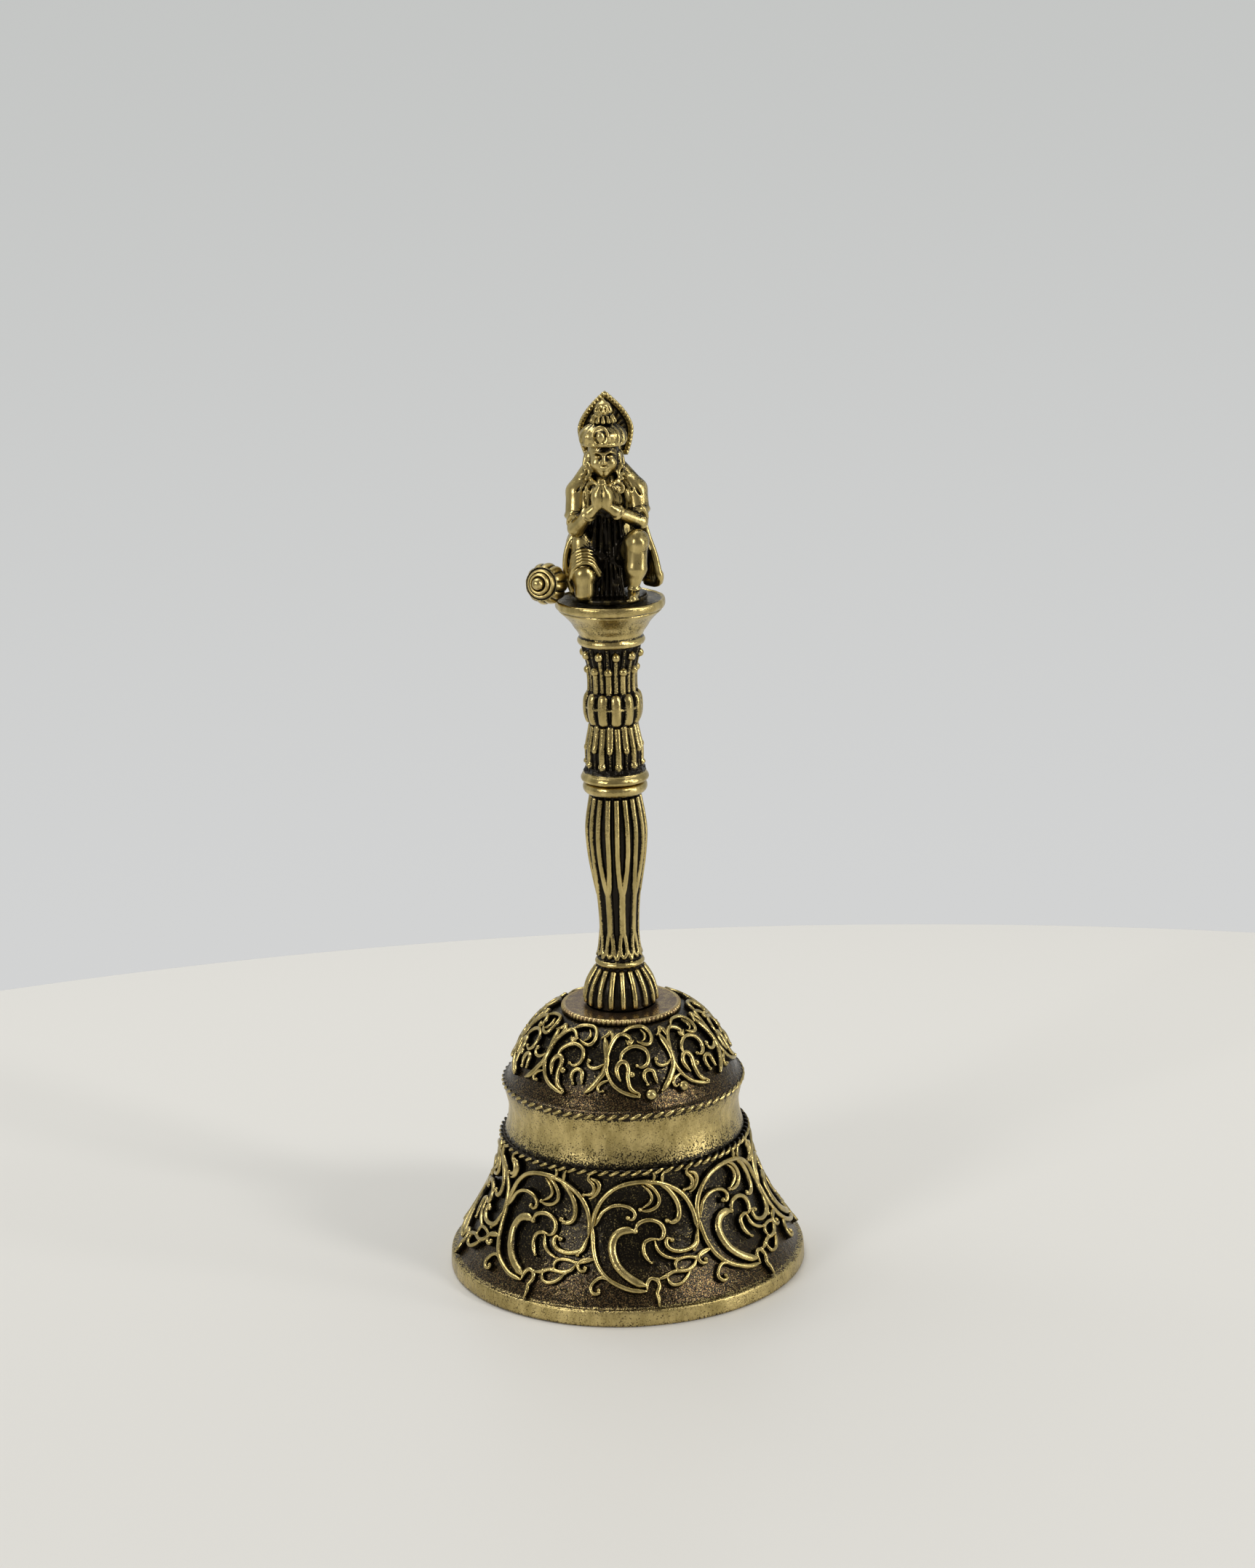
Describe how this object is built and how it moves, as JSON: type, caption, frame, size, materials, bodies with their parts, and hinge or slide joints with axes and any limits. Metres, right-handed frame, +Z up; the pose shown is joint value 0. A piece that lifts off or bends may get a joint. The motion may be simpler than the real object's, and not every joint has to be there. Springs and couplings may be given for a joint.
{
  "type": "hand bell",
  "caption": "Brass puja hand bell with scrollwork on a flared cup, a fluted and leaf-cut handle, a kneeling devotee figure on top, and a ball clapper that swings on a ring.",
  "frame": {"origin": "centre of the bell's mouth, on the plane it stands on", "axes": "+Z up along the handle; the figure on top faces -Y, with its left hand towards +X"},
  "size_m": [0.0724, 0.0724, 0.178],
  "materials": {
    "antique_brass": "dark patina in the ground, rubbed bright on the rim band",
    "relief_brass": "raised strands rubbed bright over black patina",
    "disc_brass": "reddish brown heat-stained brass, milled bright edge",
    "handle_brass": "ridges rubbed bright over black patina",
    "figure_brass": "cast detail rubbed bright over black patina",
    "clapper_brass": "plain turned brass, satin",
    "plain_steel": "plain drawn wire and turned steel, dulled"
  },
  "bodies": {
    "bell": {"bell_cup": "antique_brass", "waist_rope_ring": "relief_brass", "dome_rope_ring": "relief_brass", "skirt_scrollwork": "relief_brass", "dome_scrollwork": "relief_brass", "crown_disc": "disc_brass", "eye_bolt": "plain_steel", "flat_washer": "plain_steel", "lock_nut": "plain_steel", "lower_grip": "handle_brass", "handle_stud": "plain_steel", "upper_column": "handle_brass", "pedestal_cap": "handle_brass", "devotee_figure": "figure_brass", "halo_plate": "figure_brass", "mace_head": "figure_brass", "mace_shaft": "figure_brass"},
    "link": {"clapper_link": "plain_steel"},
    "clapper": {"clapper_rod": "plain_steel", "clapper_ball": "clapper_brass"}
  },
  "joints": [
    {"name": "link_rock", "type": "hinge", "parent": "bell", "child": "link", "pos_m": [0, 0, 0.041], "axis": [1, 0, 0], "range_deg": [-15, 15]},
    {"name": "clapper_swing", "type": "hinge", "parent": "link", "child": "clapper", "pos_m": [0, 0, 0.03586], "axis": [0, 1, 0], "range_deg": [-38, 38]}
  ]
}
